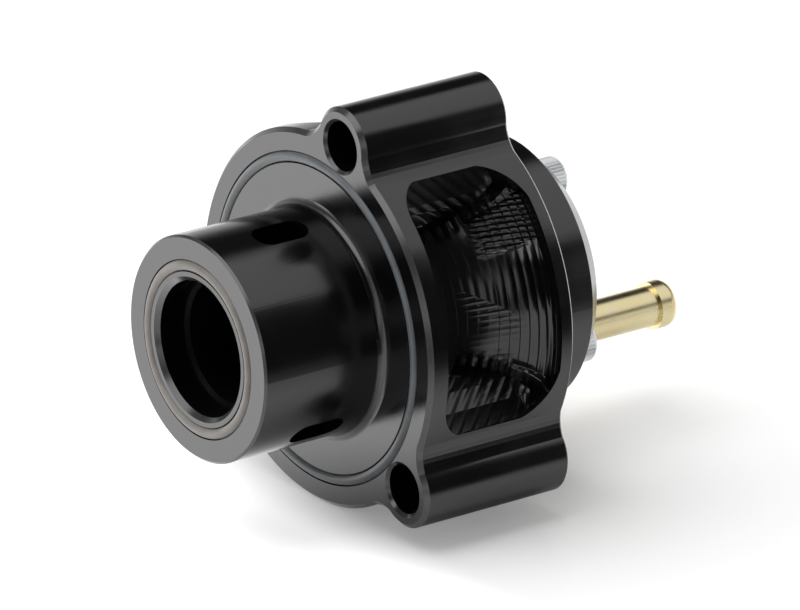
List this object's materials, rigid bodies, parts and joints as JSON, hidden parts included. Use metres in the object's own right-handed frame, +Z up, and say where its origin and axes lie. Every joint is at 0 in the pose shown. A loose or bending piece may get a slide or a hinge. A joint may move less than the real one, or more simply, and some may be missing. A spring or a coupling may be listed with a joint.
{
  "type": "blow off valve",
  "caption": "Piston blow off valve with a lugged bolt-on flange, a vented nose, a spring-loaded piston, a screwed rear cap and an off-centre brass hose barb.",
  "frame": {"origin": "centre of the flange face, on the axis of the bore, where the three fixing bolts clamp it", "axes": "the nose points to -Y, the cap and hose barb to +Y, +Z is up and +X is to the right seen from the nose"},
  "size_m": [0.0549, 0.0777, 0.0555],
  "materials": {
    "black_anodised": "satin black anodised",
    "piston_black": "hard anodised, dull black",
    "black_rubber": "satin rubber",
    "brown_rubber": "satin brown rubber",
    "black_plastic": "matte",
    "spring_steel": "drawn wire",
    "zinc_steel": "bright zinc plated",
    "brass": "turned, polished"
  },
  "bodies": {
    "housing": {"body": "black_anodised", "flange_seal": "black_rubber", "nose_seal": "brown_rubber", "seat_ring": "black_plastic", "return_spring": "spring_steel", "spring_shim": "spring_steel", "cap": "black_anodised", "cap_seal": "black_rubber", "cap_screws": "zinc_steel", "hose_barb": "brass"},
    "piston_group": {"piston": "piston_black", "piston_seal": "black_rubber", "piston_guide_ring": "black_plastic"}
  },
  "joints": [
    {"name": "piston_slide", "type": "slide", "parent": "housing", "child": "piston_group", "axis": [0, 1, 0], "range_m": [0, 0.012], "stiffness_N_per_m": 700, "springref_m": -0.01, "deforming": ["return_spring"]}
  ]
}
